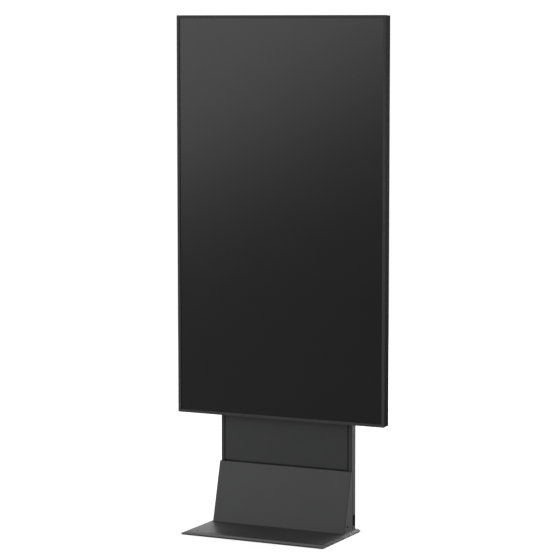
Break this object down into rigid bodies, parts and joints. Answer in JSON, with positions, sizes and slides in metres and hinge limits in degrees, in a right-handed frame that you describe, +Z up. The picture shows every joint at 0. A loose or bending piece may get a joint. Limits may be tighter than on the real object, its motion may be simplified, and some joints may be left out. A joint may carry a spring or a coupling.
{
  "type": "touchscreen kiosk",
  "caption": "Free-standing portrait touchscreen kiosk: slim framed display hung on a folded steel column with a sloped foot cover and a flat bevelled base plate.",
  "frame": {"origin": "on the floor, in the middle of the base plate", "axes": "+Z up, -Y towards the user, +X to the right seen from the front"},
  "size_m": [0.826, 0.3222, 1.8548],
  "materials": {
    "powder_coat": "fine-texture satin anthracite powder coat",
    "zinc_steel": "zinc-plated sheet steel",
    "black_screw": "black oxide steel",
    "bezel_paint": "satin black anodised aluminium frame",
    "rear_paint": "matt black painted sheet steel",
    "frame_aluminium": "mill finish extrusion",
    "screen_glass": "anti-glare cover glass over a dark panel",
    "panel_glass": "picture panel, switched off",
    "white_plastic": "matt white diffuser sheets",
    "circuit_board": "solder-resist green",
    "foam_rubber": "black rubber",
    "black_plastic": "moulded black plastic",
    "player_case": "black anodised case",
    "bright_nickel": "nickel-plated"
  },
  "bodies": {
    "root": {"backlight_tray": "zinc_steel", "base_plate": "powder_coat", "cable_grommets": "foam_rubber", "case_screws": "black_screw", "chassis_frame": "frame_aluminium", "column_front_panel": "powder_coat", "column_left_upright": "powder_coat", "column_rear_panel": "powder_coat", "column_right_upright": "powder_coat", "column_top_cap": "powder_coat", "cover_screws": "black_screw", "cover_tabs": "powder_coat", "cross_members": "powder_coat", "diffuser_stack": "white_plastic", "door_header": "powder_coat", "door_seal": "foam_rubber", "door_sill": "powder_coat", "floor_pads": "foam_rubber", "foot_bracket_bolts": "zinc_steel", "foot_brackets": "powder_coat", "foot_cover": "powder_coat", "foot_screws": "black_screw", "foot_web": "powder_coat", "front_bezel": "bezel_paint", "glass_gasket": "foam_rubber", "hex_nuts": "zinc_steel", "hinge_pins": "zinc_steel", "hook_brackets": "powder_coat", "key_board": "circuit_board", "lcd_panel": "panel_glass", "led_strips": "circuit_board", "locking_screws": "black_screw", "main_board": "circuit_board", "mains_module": "black_plastic", "media_player": "player_case", "mount_rails": "powder_coat", "player_plate": "zinc_steel", "port_bay": "rear_paint", "port_connectors": "bright_nickel", "power_board": "circuit_board", "power_strip": "black_plastic", "rail_bolts": "zinc_steel", "rear_cover": "rear_paint", "rear_panel_screws": "black_screw", "slot_trims": "foam_rubber", "speakers": "black_plastic", "timing_board": "circuit_board", "touch_board": "circuit_board", "touch_glass": "screen_glass", "tray_bosses": "frame_aluminium", "vesa_screws": "black_screw"},
    "service_door": {"service_door": "powder_coat", "lock_housing": "bright_nickel"},
    "lock": {"lock_plug": "bright_nickel", "lock_cam": "zinc_steel"},
    "mains_rocker": {"mains_rocker": "black_plastic"},
    "strip_rocker": {"strip_rocker": "black_plastic"},
    "key_power": {"key_power": "black_plastic"},
    "key_menu": {"key_menu": "black_plastic"},
    "player_button": {"player_button": "black_plastic"}
  },
  "joints": [
    {"name": "door_hinge", "type": "hinge", "parent": "root", "child": "service_door", "pos_m": [-0.24, 0.1516, 0.3942], "axis": [0, 0, 1], "range_deg": [0, 105]},
    {"name": "lock_turn", "type": "hinge", "parent": "service_door", "child": "lock", "pos_m": [0.2177, 0.1576, 0.42], "axis": [0, 1, 0], "range_deg": [0, 90]},
    {"name": "mains_switch", "type": "hinge", "parent": "root", "child": "mains_rocker", "pos_m": [0.335, 0.1064, 0.482], "axis": [-1, 0, 0], "range_deg": [0, 16]},
    {"name": "strip_switch", "type": "hinge", "parent": "root", "child": "strip_rocker", "pos_m": [0.108, 0.09117, 0.0434], "axis": [0, 1, 0], "range_deg": [0, 16]},
    {"name": "power_key", "type": "slide", "parent": "root", "child": "key_power", "axis": [0, -1, 0], "range_m": [0, 0.0008], "stiffness_N_per_m": 400},
    {"name": "menu_key", "type": "slide", "parent": "root", "child": "key_menu", "axis": [0, -1, 0], "range_m": [0, 0.0008], "stiffness_N_per_m": 400},
    {"name": "player_key", "type": "slide", "parent": "root", "child": "player_button", "axis": [0, -1, 0], "range_m": [0, 0.0008], "stiffness_N_per_m": 400}
  ]
}
